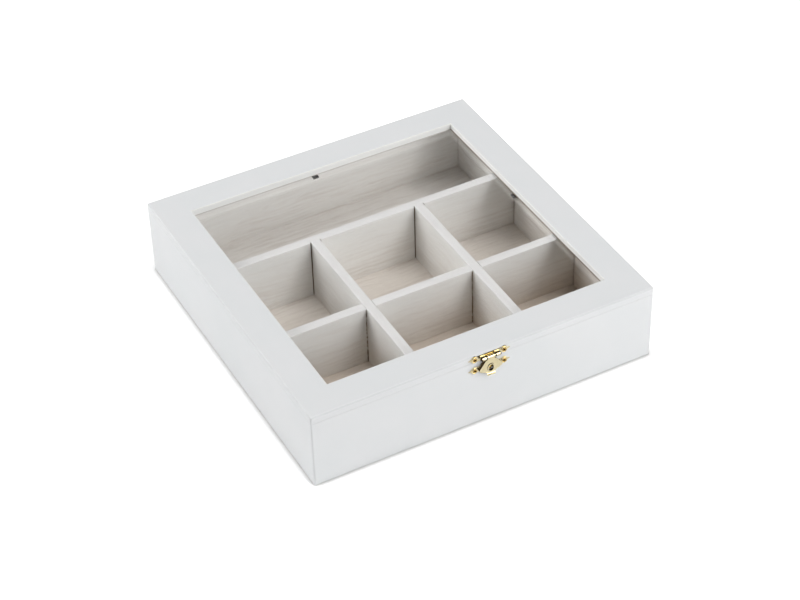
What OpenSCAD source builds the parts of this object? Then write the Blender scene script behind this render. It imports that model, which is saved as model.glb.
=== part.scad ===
// Tea bag organizer box: a shallow square box with seven compartments and a hinged, glazed lid.
// The front faces -Y, +Z is up and the origin is the centre of the face the box rests on.
// All sizes are millimetres.

/* [Box] */
// Outer width, left to right
box_w = 240; // [200:1:300]
// Outer depth, front to back
box_d = 240; // [200:1:300]
// Height with the lid closed
box_h = 55; // [45:1:90]
// Thickness of the four walls
wall_t = 8.5; // [7:0.5:12]
// Thickness of the floor panel
floor_t = 4; // [2:0.5:5]
// Depth of the rebates in the walls that hold the floor panel
rebate_depth = 3; // [2:0.5:4]
// Radius of the outer upright corners
corner_r = 1.2; // [0.5:0.1:3]
// Radius of the outer lower edges
foot_r = 0.8; // [0.4:0.1:1.5]
// Radius of the outer edges on both sides of the seam
seam_r = 0.1; // [0.1:0.1:0.6]

/* [Dividers] */
// Thickness of the dividers
divider_t = 6.5; // [4:0.5:8]
// Gap between the tops of the dividers and the glass
divider_top_gap = 0.6; // [0.4:0.1:4]
// Depth of the housings that hold the ends of the dividers
housing_depth = 1.5; // [1:0.5:3]
// Radius of the dividers' top edges
divider_r = 0.5; // [0.2:0.1:1]

/* [Lid] */
// Thickness of the lid frame
lid_t = 5; // [4.9:0.1:8]
// Width of the lid's rails and stiles
rail_w = 22.5; // [20:0.5:30]
// Radius of the lid's outer top edges
lid_edge_r = 1; // [0.5:0.1:2]
// Radius of the window's top edges
window_edge_r = 0.6; // [0.3:0.1:1]
// Thickness of the window glass
glass_t = 2; // [1.5:0.5:3]
// Width of the glass edge that lies under the frame
glass_lap = 5; // [3:0.5:7]

/* [Glass clips] */
// Width of a clip
clip_w = 4; // [3:0.5:8]
// Thickness of a clip
clip_t = 1; // [0.6:0.1:1.2]
// How far a clip shows inside the window
clip_reach = 1.5; // [1:0.5:5]
// Length of the clip's foot, under the frame
clip_foot = 6; // [5.5:0.5:6.5]
// How far the front and back clips sit left of the middle
clip_shift_left = 7; // [-30:1:30]
// How far the left and right clips sit behind the middle
clip_shift_back = 12; // [-20:1:20]

/* [Hinges] */
// Distance from the sides of the box to the middle of the nearer hinge
hinge_inset = 45; // [30:1:70]
// Length of a hinge
hinge_len = 24; // [20:1:30]
// Thickness of the hinge leaves
leaf_t = 0.8; // [0.6:0.1:1]
// Distance from the back face to the buried edge of a leaf
leaf_depth = 7; // [6:0.5:7.5]
// Outer radius of the hinge knuckles
hinge_knuckle_r = 1.6; // [1.5:0.1:2]
// Radius of the hinge pins
hinge_pin_r = 0.8; // [0.7:0.1:0.9]
// Length of the middle knuckle, which belongs to the lid
lid_knuckle_len = 7.8; // [6:0.2:9]
// Distance from the pin to the tip of the stop tails
stop_r = 3.2; // [2.8:0.1:3.4]
// Angle of the lid at which the stop tails meet
stop_angle = 95; // [92:1:98]
// How far the line midway between the stop tails points below level
stop_tilt = 63; // [60:1:66]

/* [Latch] */
// How far the latch sits right of the middle
latch_x = 0.7; // [-2:0.1:2]
// Length of the latch plates, tip to tip
latch_len = 29; // [27:1:34]
// Thickness of the latch plates and the hasp
latch_t = 0.8; // [0.6:0.1:1]
// Radius of the round screw eyes on the plates
eye_r = 2.4; // [2.2:0.1:2.45]
// Distance between the two screws of a plate
latch_pitch = 20.6; // [20:0.2:22]
// Height of the bar between the screw eyes
plate_bar_h = 3.6; // [3:0.2:4]
// Outer radius of the latch knuckles
latch_knuckle_r = 1.3; // [1.1:0.1:1.5]
// Radius of the latch pin
latch_pin_r = 0.65; // [0.5:0.05:0.7]
// Length of the hasp's barrel
hasp_barrel_len = 6.2; // [5:0.2:7]
// Width of the hasp at its widest
hasp_w = 16; // [14:0.5:17]
// Distance from the latch pin down to the catch plate
catch_drop = 8.6; // [8.4:0.1:8.8]
// Width of the slot in the hasp
slot_w = 3.2; // [2.8:0.1:3.6]
// Height of the slot in the hasp
slot_h = 4.8; // [4.4:0.1:5]
// Width of the hasp's finger lip
lip_w = 5.6; // [4.8:0.2:6.4]

/* [Fits] */
// Gap between the lid and the box
seam_gap = 0.1; // [0.1:0.05:0.4]
// Clearance on each side of a divider in the slot where two of them cross
lap_play = 0.2; // [0.2:0.1:0.6]
// Clearance on each side of a divider's end in its housing
housing_play = 0.7; // [0.3:0.1:1]
// Radial clearance of the hinge and latch pins
pin_play = 0.05; // [0.03:0.01:0.08]
// End clearance between neighbouring knuckles
knuckle_play = 0.3; // [0.2:0.05:0.4]
// Gap between the hasp and what lies behind it
hasp_gap = 0.3; // [0.3:0.05:0.4]
// Clearance around a hinge leaf in its recess
recess_play = 0.1; // [0.05:0.05:0.2]
// Radial clearance of a screw in its hole
screw_play = 0.05; // [0.03:0.01:0.1]

/* [Hidden] */

$fn = 48;
bite = 1;

// Box, dividers and compartments
base_h = box_h - lid_t - seam_gap;
lid_z = box_h - lid_t;
inner_w = box_w - 2 * wall_t;
inner_d = box_d - 2 * wall_t;
cell_w = (inner_w - 2 * divider_t) / 3;
cell_d = (inner_d - 2 * divider_t) / 3;
column_x = (cell_w + divider_t) / 2;
row_y = (cell_d + divider_t) / 2;
divider_top = lid_z - glass_t - divider_top_gap;
divider_h = divider_top - floor_t;
long_divider_len = inner_w + 2 * housing_depth;
short_divider_front = -inner_d / 2 - housing_depth;
short_divider_back = row_y - divider_t / 2 + housing_depth;

// Lid window and its clips
window_w = box_w - 2 * rail_w;
window_d = box_d - 2 * rail_w;
glass_w = window_w + 2 * glass_lap;
glass_d = window_d + 2 * glass_lap;
clip_screw_r = 0.8;
clip_screw_len = 4.5;
clip_head_r = 1.5;
clip_head_h = 0.7;

// Hinges: the pin axis is level with the middle of the seam
hinge_x = box_w / 2 - hinge_inset;
hinge_axis_y = box_d / 2 + hinge_knuckle_r + 0.35;
hinge_axis_z = base_h + seam_gap / 2;
knuckle_clear_r = hinge_knuckle_r + 0.4;
leaf_screw_x = hinge_len / 2 - 4.5;
leaf_screw_inset = 3.6;
leaf_screw_r = 0.8;
leaf_screw_head_r = 1.5;
leaf_screw_head_h = 0.7;
base_leaf_screw_len = 8;
lid_leaf_screw_len = 3.8;
pin_head_r = 1.1;
pin_head_h = 0.5;

// Latch: the pin axis is level with the middle of the lid's edge
latch_z = lid_z + lid_t / 2;
catch_z = latch_z - catch_drop;
latch_pin_out = latch_t + hasp_gap + latch_knuckle_r;
latch_knuckle_len = 3;
latch_screw_r = 0.7;
latch_screw_len = 6;
latch_head_r = 1.4;
latch_head_h = 0.6;
tip_hollow_r = 3;
eye_ring_w = 0.5;
eye_ring_lift = 0.3;
hasp_back = latch_pin_out - latch_t / 2;
hasp_shoulder_r = 1.5;
hasp_tail = 12;
lip_r = 1;
nib_w = 1.8;
nib_h = 3.2;
nib_len = hasp_back - latch_t - hasp_gap;

paint = "#f2f2f0";
washed_wood = "#d8cfc4";
brass = "#c9a24b";
blackened = "#2b2a28";
pane = "#dfe9ea";

// ---------- shared shapes ----------

// A plan of the box's outline with round corners.
module outline_plan() {
    square([box_w - 2 * corner_r, box_d], center = true);
    square([box_w, box_d - 2 * corner_r], center = true);
    for (x = [-1, 1], y = [-1, 1])
        translate([x * (box_w / 2 - corner_r), y * (box_d / 2 - corner_r)])
            circle(r = corner_r);
}

// A block given by its centre in plan, its size and the height of its underside.
module block(x, y, size_x, size_y, z_from, z_to) {
    translate([x - size_x / 2, y - size_y / 2, z_from])
        cube([size_x, size_y, z_to - z_from]);
}

// A rectangle centred on x with its lower edge on y = 0, and two radii for its corners.
module soft_rectangle(w, h, low_r, high_r) {
    difference() {
        translate([-w / 2, 0])
            square([w, h]);
        for (side = [-1, 1]) {
            translate([side * w / 2, 0]) corner_waste(-side, 1, low_r);
            translate([side * w / 2, h]) corner_waste(-side, -1, high_r);
        }
    }
}

// What a round corner takes away. The corner is at the origin, and the signs point into the shape.
module corner_waste(x_sign, y_sign, r) {
    scale_x = x_sign < 0 ? 1 : 0;
    scale_y = y_sign < 0 ? 1 : 0;
    mirror([scale_x, 0]) mirror([0, scale_y])
        difference() {
            translate([-bite, -bite])
                square(r + bite);
            translate([r, r])
                circle(r = r);
        }
}

// A slab as wide and deep as the box, with all its outer edges rounded.
module soft_slab(z_from, z_to, low_r, high_r) {
    h = z_to - z_from;
    translate([0, 0, z_from])
        intersection() {
            linear_extrude(h) outline_plan();
            translate([0, box_d / 2, 0])
                rotate([90, 0, 0])
                    linear_extrude(box_d) soft_rectangle(box_w, h, low_r, high_r);
            translate([-box_w / 2, 0, 0])
                rotate([90, 0, 90])
                    linear_extrude(box_w) soft_rectangle(box_d, h, low_r, high_r);
        }
}

// Puts a shape on the front face, above or below the latch's middle: its x runs along the face,
// its y up and its z outwards.
module on_front(z) {
    translate([latch_x, -box_d / 2, z])
        rotate([90, 0, 0])
            children();
}

// A cylinder along X, centred on the origin.
module rod(r, len) {
    rotate([0, 90, 0])
        cylinder(h = len, r = r, center = true);
}

// The cross recess of a screw, cut down from z = 0, with a deeper centre.
module cross_recess(head_r, depth) {
    reach = head_r * 0.6;
    slot = head_r * 0.25;
    for (turn = [0, 90])
        rotate([0, 0, turn])
            block(0, 0, 2 * reach, slot, -depth, bite);
    translate([0, 0, -depth * 1.2])
        cylinder(h = depth * 1.2 + bite, r = slot);
}

// A domed screw that points down, with the underside of its head at z = 0.
module round_screw(shank_r, len, head_r, head_h) {
    dome_r = (head_r * head_r + head_h * head_h) / (2 * head_h);
    difference() {
        intersection() {
            cylinder(h = head_h, r = head_r);
            translate([0, 0, head_h - dome_r])
                sphere(r = dome_r);
        }
        translate([0, 0, head_h])
            cross_recess(head_r, head_h * 0.6);
    }
    screw_shank(shank_r, len);
}

// A countersunk screw that points down, with the top of its head at z = 0.
module flat_screw(shank_r, len, head_r, head_h) {
    difference() {
        translate([0, 0, -head_h])
            cylinder(h = head_h, r1 = shank_r, r2 = head_r);
        cross_recess(head_r, head_h * 0.6);
    }
    translate([0, 0, -head_h])
        screw_shank(shank_r, len - head_h);
}

// A plain shank with a pointed end, below z = 0.
module screw_shank(shank_r, len) {
    point = shank_r * 1.5;
    translate([0, 0, point - len])
        cylinder(h = len - point, r = shank_r);
    translate([0, 0, -len])
        cylinder(h = point, r1 = 0.1, r2 = shank_r);
}

// The hole for a screw, below z = 0, which also cuts a little above it.
module screw_hole(shank_r, len) {
    translate([0, 0, -len - 0.3])
        cylinder(h = len + 0.3 + bite, r = shank_r + screw_play);
}

// ---------- walls and floor ----------

// The floor panel from the given height up, which is also the shape of its rebate.
module floor_shape(z_from) {
    block(0, 0, inner_w + 2 * rebate_depth, inner_d + 2 * rebate_depth, z_from, floor_t);
}

// The floor, flush with the walls' lower edges.
module floor_panel() {
    color(washed_wood) floor_shape(0);
}

// The four walls' outer shape, cut to one wall and rebated for the floor.
module wall(x, y, size_x, size_y) {
    difference() {
        intersection() {
            soft_slab(0, base_h, foot_r, seam_r);
            block(x, y, size_x, size_y, 0, base_h);
        }
        floor_shape(-bite);
    }
}

// The housing for an end of a short divider, cut into a face that looks along Y.
module short_divider_housing(side, y) {
    block(side * column_x, y, divider_t + 2 * housing_play, 2 * housing_depth,
        floor_t - bite, base_h + bite);
}

// The housing for an end of a long divider, cut into the inner face of a side wall.
module long_divider_housing(side, y) {
    block(side * inner_w / 2, y, 2 * housing_depth, divider_t + 2 * housing_play,
        floor_t - bite, base_h + bite);
}

// A front or back wall, on the side of y that side names.
module long_wall(side) {
    wall(0, side * (box_d - wall_t) / 2, box_w, wall_t);
}

// A side wall, between the front and back walls, with a housing for each long divider.
module side_wall(side) {
    difference() {
        wall(side * (box_w - wall_t) / 2, 0, wall_t, inner_d);
        for (y = [-row_y, row_y])
            long_divider_housing(side, y);
    }
}

module front_wall() {
    color(paint) difference() {
        long_wall(-1);
        for (side = [-1, 1])
            short_divider_housing(side, -inner_d / 2);
        on_front(catch_z) plate_screw_holes();
    }
}

module back_wall() {
    color(paint) difference() {
        long_wall(1);
        for (x = [-hinge_x, hinge_x])
            translate([x, 0, 0]) {
                leaf_recess(base_h - leaf_t, base_h + bite);
                for_leaf_screws(base_h) screw_hole(leaf_screw_r, base_leaf_screw_len);
            }
    }
}

module left_wall() {
    color(paint) side_wall(-1);
}

module right_wall() {
    color(paint) side_wall(1);
}

// ---------- dividers ----------

// A divider along X with round top edges, centred on y.
module long_divider(y) {
    translate([-long_divider_len / 2, y, floor_t])
        rotate([90, 0, 90])
            linear_extrude(long_divider_len) soft_rectangle(divider_t, divider_h, 0.01, divider_r);
}

// The long divider in front of the undivided rear compartment, with a housing for each short one.
module rear_divider() {
    color(washed_wood) difference() {
        long_divider(row_y);
        for (side = [-1, 1])
            short_divider_housing(side, row_y - divider_t / 2);
    }
}

// The long divider between the two rows, slotted from the top down to half its height.
module middle_divider() {
    color(washed_wood) difference() {
        long_divider(-row_y);
        for (side = [-1, 1])
            block(side * column_x, -row_y, divider_t + 2 * lap_play, divider_t + bite,
                floor_t + divider_h / 2, divider_top + bite);
    }
}

// A divider from the front wall to the rear divider, slotted from below to half its height.
module short_divider(side) {
    run = short_divider_back - short_divider_front;
    difference() {
        translate([side * column_x, short_divider_back, floor_t])
            rotate([90, 0, 0])
                linear_extrude(run) soft_rectangle(divider_t, divider_h, 0.01, divider_r);
        block(side * column_x, -row_y, divider_t + bite, divider_t + 2 * lap_play,
            floor_t - bite, floor_t + divider_h / 2);
    }
}

module left_divider() {
    color(washed_wood) short_divider(-1);
}

module right_divider() {
    color(washed_wood) short_divider(1);
}

// ---------- lid frame and glass ----------

// A bar of the lid frame along the front, with a round top edge at the window.
module lid_bar(outer_d, len) {
    translate([-len / 2, -outer_d / 2, lid_z])
        rotate([90, 0, 90])
            linear_extrude(len)
                difference() {
                    square([rail_w, lid_t]);
                    translate([rail_w, lid_t]) corner_waste(-1, -1, window_edge_r);
                }
}

// The wedge of the lid's plan that lies at the front, cut by the mitres.
module front_wedge(outer_w, outer_d) {
    translate([0, 0, lid_z - bite])
        linear_extrude(lid_t + 2 * bite)
            polygon([[-outer_w / 2, -outer_d / 2], [outer_w / 2, -outer_d / 2],
                [outer_w / 2 - rail_w, -outer_d / 2 + rail_w],
                [-outer_w / 2 + rail_w, -outer_d / 2 + rail_w]]);
}

// One mitred piece of the frame, turned to its side of the lid.
module frame_piece(turn) {
    outer_w = turn % 180 == 0 ? box_w : box_d;
    outer_d = turn % 180 == 0 ? box_d : box_w;
    intersection() {
        rotate([0, 0, turn])
            intersection() {
                lid_bar(outer_d, outer_w);
                front_wedge(outer_w, outer_d);
            }
        soft_slab(lid_z, box_h, seam_r, lid_edge_r);
    }
}

module lid_front_rail() {
    color(paint) difference() {
        frame_piece(0);
        on_front(latch_z) plate_screw_holes();
        clip_screw_hole(0);
    }
}

module lid_back_rail() {
    color(paint) difference() {
        frame_piece(180);
        clip_screw_hole(180);
        for (x = [-hinge_x, hinge_x])
            translate([x, 0, 0]) {
                leaf_recess(lid_z - bite, lid_z + leaf_t);
                for_leaf_screws(lid_z) mirror([0, 0, 1])
                    screw_hole(leaf_screw_r, lid_leaf_screw_len);
            }
    }
}

module lid_left_stile() {
    color(paint) difference() {
        frame_piece(270);
        clip_screw_hole(270);
    }
}

module lid_right_stile() {
    color(paint) difference() {
        frame_piece(90);
        clip_screw_hole(90);
    }
}

module window_glass() {
    color(pane, 0.35) block(0, 0, glass_w, glass_d, lid_z - glass_t, lid_z);
}

// ---------- glass clips ----------

// Puts a shape at a clip's place on a side of the glass: its y runs outwards from the glass edge
// and its z = 0 is the underside of the frame.
module at_glass_edge(turn) {
    on_end = turn % 180 == 0;
    edge = (on_end ? glass_d : glass_w) / 2;
    translate(on_end ? [-clip_shift_left, 0, 0] : [0, clip_shift_back, 0])
        rotate([0, 0, turn])
            translate([0, -edge, lid_z])
                rotate([0, 0, 180])
                    children();
}

// A stepped clip: a foot under the frame, a riser past the glass edge and a tab under the glass.
module glass_clip(turn) {
    tab = glass_lap + clip_reach;
    difference() {
        at_glass_edge(turn) {
            block(0, (clip_foot + recess_play) / 2, clip_w, clip_foot - recess_play, -clip_t, 0);
            block(0, (clip_t + recess_play) / 2, clip_w, clip_t - recess_play,
                -glass_t - clip_t, 0);
            block(0, (clip_t - tab) / 2, clip_w, clip_t + tab, -glass_t - clip_t, -glass_t);
        }
        clip_screw_hole(turn);
    }
}

// The centre of a clip's screw, pointing up into the frame.
module for_clip_screw(turn) {
    at_glass_edge(turn)
        translate([0, clip_foot - clip_head_r - 0.8, -clip_t])
            mirror([0, 0, 1])
                children();
}

module clip_screw_hole(turn) {
    for_clip_screw(turn) screw_hole(clip_screw_r, clip_screw_len);
}

module front_glass_clip() {
    color(blackened) glass_clip(0);
}

module back_glass_clip() {
    color(blackened) glass_clip(180);
}

module left_glass_clip() {
    color(blackened) glass_clip(270);
}

module right_glass_clip() {
    color(blackened) glass_clip(90);
}

module glass_clip_screws() {
    color("silver") for (turn = [0 : 90 : 270])
        for_clip_screw(turn)
            round_screw(clip_screw_r, clip_screw_len, clip_head_r, clip_head_h);
}

// ---------- hinges ----------

// The recess for a hinge leaf, open at the back face.
module leaf_recess(z_from, z_to) {
    run = leaf_depth + recess_play + bite;
    block(0, box_d / 2 + bite - run / 2, hinge_len + 2 * recess_play, run, z_from, z_to);
}

// Places what follows at the two screws of a leaf, at the given height.
module for_leaf_screws(z) {
    for (side = [-1, 1])
        translate([side * leaf_screw_x, box_d / 2 - leaf_screw_inset, z])
            children();
}

// The flat of a leaf between two heights, from its buried edge out to reach_y.
module leaf_flat(z_from, z_to, len, reach_y) {
    run = reach_y - (box_d / 2 - leaf_depth);
    block(0, reach_y - run / 2, len, run, z_from, z_to);
}

// A radial stop tail behind the pin, the lower one for side 1 and the upper one for side -1.
// Its face looks at the other tail, and its thickness lies on the far side of that face.
module stop_tail(len, r_from, side) {
    rotate([-stop_tilt - side * stop_angle / 2, 0, 0])
        translate([-len / 2, r_from, side > 0 ? -leaf_t : 0])
            cube([len, stop_r - r_from, leaf_t]);
}

// Puts a shape on a hinge's pin axis.
module on_hinge_pin() {
    translate([0, hinge_axis_y, hinge_axis_z])
        children();
}

// The countersunk holes of a leaf whose screws point down from its face at z.
module leaf_screw_holes(z) {
    for_leaf_screws(z) {
        translate([0, 0, -leaf_screw_head_h])
            cylinder(h = leaf_screw_head_h + 0.001, r1 = leaf_screw_r, r2 = leaf_screw_head_r);
        translate([0, 0, -leaf_t - bite])
            cylinder(h = leaf_t + bite, r = leaf_screw_r + screw_play);
    }
}

// The leaf on the box: two outer knuckles and the full-length lower stop tail.
module hinge_base_leaf() {
    outer_len = (hinge_len - lid_knuckle_len) / 2 - knuckle_play;
    outer_x = (hinge_len - outer_len) / 2;
    difference() {
        union() {
            leaf_flat(base_h - leaf_t, base_h, hinge_len, hinge_axis_y - knuckle_clear_r);
            for (side = [-1, 1])
                translate([side * outer_x, 0, 0]) {
                    leaf_flat(base_h - leaf_t, base_h, outer_len, hinge_axis_y);
                    on_hinge_pin() rod(hinge_knuckle_r, outer_len);
                    on_hinge_pin() stop_tail(outer_len, hinge_pin_r, 1);
                }
            on_hinge_pin() stop_tail(hinge_len, knuckle_clear_r, 1);
        }
        on_hinge_pin() rod(hinge_pin_r + pin_play, hinge_len + bite);
        leaf_screw_holes(base_h);
    }
}

// The leaf on the lid: one middle knuckle and the short upper stop tail.
module hinge_lid_leaf() {
    difference() {
        union() {
            leaf_flat(lid_z, lid_z + leaf_t, hinge_len, hinge_axis_y - knuckle_clear_r);
            leaf_flat(lid_z, lid_z + leaf_t, lid_knuckle_len, hinge_axis_y);
            on_hinge_pin() rod(hinge_knuckle_r, lid_knuckle_len);
            on_hinge_pin() stop_tail(lid_knuckle_len, hinge_pin_r, -1);
        }
        on_hinge_pin() rod(hinge_pin_r + pin_play, hinge_len + bite);
        translate([0, 0, 2 * lid_z]) mirror([0, 0, 1]) leaf_screw_holes(lid_z);
    }
}

// A pin with a flat head against each outer knuckle.
module hinge_pin() {
    on_hinge_pin() {
        rod(hinge_pin_r, hinge_len);
        for (side = [-1, 1])
            translate([side * (hinge_len + pin_head_h) / 2, 0, 0])
                rod(pin_head_r, pin_head_h);
    }
}

module left_hinge_base_leaf() {
    color(brass) translate([-hinge_x, 0, 0]) hinge_base_leaf();
}

module right_hinge_base_leaf() {
    color(brass) translate([hinge_x, 0, 0]) hinge_base_leaf();
}

module left_hinge_lid_leaf() {
    color(brass) translate([-hinge_x, 0, 0]) hinge_lid_leaf();
}

module right_hinge_lid_leaf() {
    color(brass) translate([hinge_x, 0, 0]) hinge_lid_leaf();
}

module left_hinge_pin() {
    color(brass) translate([-hinge_x, 0, 0]) hinge_pin();
}

module right_hinge_pin() {
    color(brass) translate([hinge_x, 0, 0]) hinge_pin();
}

module hinge_base_screws() {
    color(brass) for (x = [-hinge_x, hinge_x])
        translate([x, 0, 0]) for_leaf_screws(base_h)
            flat_screw(leaf_screw_r, base_leaf_screw_len, leaf_screw_head_r, leaf_screw_head_h);
}

module hinge_lid_screws() {
    color(brass) for (x = [-hinge_x, hinge_x])
        translate([x, 0, 0]) for_leaf_screws(lid_z) mirror([0, 0, 1])
            flat_screw(leaf_screw_r, lid_leaf_screw_len, leaf_screw_head_r, leaf_screw_head_h);
}

// ---------- latch ----------

// A point with hollow sides that runs out along x to reach.
module cusp(reach) {
    difference() {
        translate([0, -tip_hollow_r / 2])
            square([reach, tip_hollow_r]);
        for (side = [-1, 1])
            translate([reach, side * tip_hollow_r])
                circle(r = tip_hollow_r);
    }
}

// The outline of a latch plate: a bar between two round eyes, each with a pointed tip.
module plate_plan() {
    eye_x = latch_pitch / 2;
    square([latch_pitch, plate_bar_h], center = true);
    for (side = [-1, 1])
        translate([side * eye_x, 0]) {
            circle(r = eye_r);
            mirror([side < 0 ? 1 : 0, 0])
                cusp(latch_len / 2 - eye_x);
        }
}

// Places what follows at the two screws of a latch plate, on the wood's face.
module for_plate_screws() {
    for (side = [-1, 1])
        translate([side * latch_pitch / 2, 0, 0])
            children();
}

module plate_screw_holes() {
    for_plate_screws() screw_hole(latch_screw_r, latch_screw_len);
}

module plate_screws() {
    for_plate_screws()
        translate([0, 0, latch_t])
            round_screw(latch_screw_r, latch_screw_len, latch_head_r, latch_head_h);
}

// A flat plate with its two screw holes, each inside a raised ring.
module screwed_plate() {
    difference() {
        union() {
            linear_extrude(latch_t) plate_plan();
            for_plate_screws()
                linear_extrude(latch_t + eye_ring_lift)
                    difference() {
                        circle(r = eye_r - eye_ring_w / 2);
                        circle(r = eye_r - 3 * eye_ring_w / 2);
                    }
        }
        for_plate_screws() translate([0, 0, latch_t]) screw_hole(latch_screw_r, latch_t);
    }
}

module on_latch_pin() {
    translate([0, 0, latch_pin_out])
        children();
}

// The plate on the lid's edge, with a lug on each side of the hasp's barrel.
module latch_plate() {
    lug_x = (hasp_barrel_len + latch_knuckle_len) / 2 + knuckle_play;
    color(brass) on_front(latch_z) {
        screwed_plate();
        for (side = [-1, 1])
            translate([side * lug_x, 0, 0])
                difference() {
                    union() {
                        on_latch_pin() rod(latch_knuckle_r, latch_knuckle_len);
                        block(0, 0, latch_knuckle_len, 2 * latch_knuckle_r,
                            latch_t / 2, latch_pin_out);
                    }
                    on_latch_pin() rod(latch_pin_r + pin_play, latch_knuckle_len + bite);
                }
    }
}

module latch_plate_screws() {
    color(brass) on_front(latch_z) plate_screws();
}

// A pin with a flat head against the outer face of each lug.
module latch_pin() {
    shaft = hasp_barrel_len + 2 * latch_knuckle_len + 2 * knuckle_play;
    color(brass) on_front(latch_z) on_latch_pin() {
        rod(latch_pin_r, shaft);
        for (side = [-1, 1])
            translate([side * (shaft + pin_head_h) / 2, 0, 0])
                rod(pin_head_r - 0.1, pin_head_h);
    }
}

// The catch plate on the box, with the nib that shows through the hasp's slot.
module catch_plate() {
    color(brass) on_front(catch_z) {
        screwed_plate();
        translate([0, 0, latch_t / 2])
            linear_extrude(nib_len + latch_t / 2)
                upright_slot(nib_w, nib_h);
    }
}

module catch_plate_screws() {
    color(brass) on_front(catch_z) plate_screws();
}

// An upright slot shape with round ends, centred on the origin.
module upright_slot(w, h) {
    square([w, h - w], center = true);
    for (side = [-1, 1])
        translate([0, side * (h - w) / 2])
            circle(r = w / 2);
}

// The outline of the hasp below its barrel: a neck that passes the lugs, then a shield.
module hasp_plan() {
    shoulder_x = hasp_w / 2 - hasp_shoulder_r;
    neck = latch_knuckle_r + hasp_gap;
    translate([-hasp_barrel_len / 2, -neck - 0.5])
        square([hasp_barrel_len, neck + 0.5]);
    hull() {
        translate([-hasp_barrel_len / 2, -neck - 0.5])
            square([hasp_barrel_len, 0.5]);
        for (side = [-1, 1])
            translate([side * shoulder_x, -catch_drop])
                circle(r = hasp_shoulder_r);
        translate([-lip_w / 2, -hasp_tail])
            square([lip_w, 1]);
    }
}

// The finger lip: a quarter turn outwards at the hasp's lower end.
module hasp_lip() {
    outer_r = lip_r + latch_t;
    translate([-lip_w / 2, -hasp_tail, hasp_back + outer_r])
        rotate([90, 0, 90])
            linear_extrude(lip_w)
                difference() {
                    intersection() {
                        circle(r = outer_r);
                        translate([-outer_r, -outer_r]) square(outer_r);
                    }
                    circle(r = lip_r);
                }
}

// The hasp: a barrel on the pin, a shield with a slot and a raised rim round it, and a lip.
module latch_hasp() {
    rim = 0.7;
    rim_lift = 0.3;
    color(brass) on_front(latch_z) difference() {
        union() {
            on_latch_pin() rod(latch_knuckle_r, hasp_barrel_len);
            translate([0, 0, hasp_back]) linear_extrude(latch_t) hasp_plan();
            translate([0, -catch_drop, hasp_back])
                linear_extrude(latch_t + rim_lift)
                    upright_slot(slot_w + 2 * rim, slot_h + 2 * rim);
            hasp_lip();
        }
        on_latch_pin() rod(latch_pin_r + pin_play, hasp_barrel_len + bite);
        translate([0, -catch_drop, hasp_back - bite])
            linear_extrude(latch_t + rim_lift + 2 * bite)
                upright_slot(slot_w, slot_h);
    }
}

front_wall();
back_wall();
left_wall();
right_wall();
floor_panel();
rear_divider();
middle_divider();
left_divider();
right_divider();
left_hinge_base_leaf();
right_hinge_base_leaf();
left_hinge_pin();
right_hinge_pin();
hinge_base_screws();
catch_plate();
catch_plate_screws();
lid_front_rail();
lid_back_rail();
lid_left_stile();
lid_right_stile();
window_glass();
front_glass_clip();
back_glass_clip();
left_glass_clip();
right_glass_clip();
glass_clip_screws();
left_hinge_lid_leaf();
right_hinge_lid_leaf();
hinge_lid_screws();
latch_plate();
latch_plate_screws();
latch_pin();
latch_hasp();
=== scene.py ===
# %% [markdown]
# # Tea bag organizer box
# A square box of painted fibreboard with seven compartments, a lid with a glass window and a
# little brass latch. The construction model already holds every piece at its real size. This
# file gives those pieces their finishes, adds the finest detail of the latch, and sets the box
# on a white table in soft light.

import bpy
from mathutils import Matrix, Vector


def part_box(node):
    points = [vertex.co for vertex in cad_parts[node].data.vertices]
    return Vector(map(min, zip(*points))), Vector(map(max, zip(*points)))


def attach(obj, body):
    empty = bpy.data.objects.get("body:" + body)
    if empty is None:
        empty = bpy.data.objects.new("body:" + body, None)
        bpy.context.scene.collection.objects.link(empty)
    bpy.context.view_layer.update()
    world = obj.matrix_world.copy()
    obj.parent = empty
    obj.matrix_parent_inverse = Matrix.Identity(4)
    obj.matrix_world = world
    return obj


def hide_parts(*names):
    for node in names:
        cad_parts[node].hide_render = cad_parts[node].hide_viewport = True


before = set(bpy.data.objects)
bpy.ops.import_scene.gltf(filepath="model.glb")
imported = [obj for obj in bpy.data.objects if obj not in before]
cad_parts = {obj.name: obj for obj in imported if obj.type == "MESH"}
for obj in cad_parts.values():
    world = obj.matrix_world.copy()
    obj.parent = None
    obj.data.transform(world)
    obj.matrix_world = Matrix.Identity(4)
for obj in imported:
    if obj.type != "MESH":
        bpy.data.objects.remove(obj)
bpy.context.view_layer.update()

# %% [markdown]
# ## Units and colours
# Blender counts in metres and a joiner in millimetres, so one number turns the one into the
# other. Colours are written as sRGB hex values, as in any paint program. Blender works in linear
# light, so one function translates them, with the numbers of the sRGB standard.

# %% Units and colours
import math

import bmesh
import bpy
from mathutils import Matrix, Vector
from mathutils.geometry import convex_hull_2d

MM = 0.001


def linear(hex_colour):
    """An sRGB colour as it is written, such as "#E6E7E5", in linear light with full alpha."""
    channels = [int(hex_colour[i:i + 2], 16) / 255 for i in (1, 3, 5)]
    return [c / 12.92 if c <= 0.04045 else ((c + 0.055) / 1.055) ** 2.4 for c in channels] + [1.0]


print("mid grey in linear light:", [round(c, 3) for c in linear("#808080")])

# %% [markdown]
# ## Sizes that the finishes need
# Paint, wood and glass change at places that the construction already fixes: the inner faces of
# the walls, the ends of the housings and the window's edges. They are read from the nodes'
# corners, so a change of the box carries over to its finishes. All of them are in millimetres.

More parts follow.
